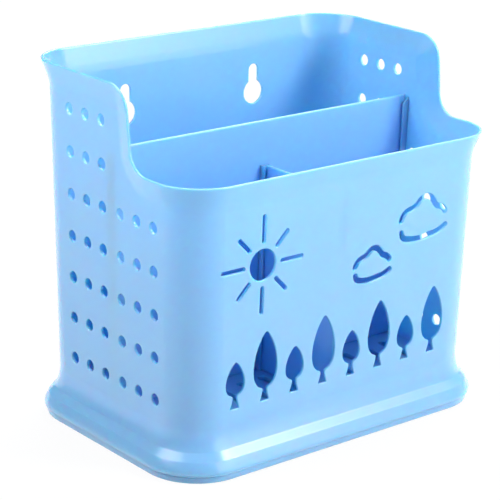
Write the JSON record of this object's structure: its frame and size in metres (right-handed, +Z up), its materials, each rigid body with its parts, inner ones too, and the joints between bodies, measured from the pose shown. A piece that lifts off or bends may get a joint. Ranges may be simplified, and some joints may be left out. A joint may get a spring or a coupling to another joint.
{
  "type": "cutlery and chopstick holder",
  "caption": "Tub for chopsticks and cutlery with a flared stepped rim, drain holes, cut-out front, lift-out partitions, keyholes for hanging and a pull-off drip tray.",
  "frame": {"origin": "centre of the bounding box at table level, under the drip tray", "axes": "+Z up, +X along the long side, the low cut-out front faces -Y and the wall with the keyholes faces +Y"},
  "size_m": [0.1752, 0.1192, 0.1585],
  "materials": {
    "body_plastic": "glossy moulded polypropylene, sky blue",
    "divider_plastic": "semi-gloss moulded polypropylene, sky blue",
    "tray_plastic": "glossy moulded polypropylene, sky blue"
  },
  "bodies": {
    "holder_body": {"holder_body": "body_plastic"},
    "long_divider": {"long_divider": "divider_plastic"},
    "cross_partition": {"cross_partition": "divider_plastic"},
    "drip_tray": {"drip_tray": "tray_plastic"}
  },
  "joints": [
    {"name": "divider_lift", "type": "slide", "parent": "holder_body", "child": "long_divider", "axis": [0, 0, 1], "range_m": [0, 0.115]},
    {"name": "partition_lift", "type": "slide", "parent": "long_divider", "child": "cross_partition", "axis": [0, 0, 1], "range_m": [0, 0.095]},
    {"name": "tray_pull", "type": "slide", "parent": "holder_body", "child": "drip_tray", "axis": [0, 0, -1], "range_m": [0, 0.02]}
  ]
}
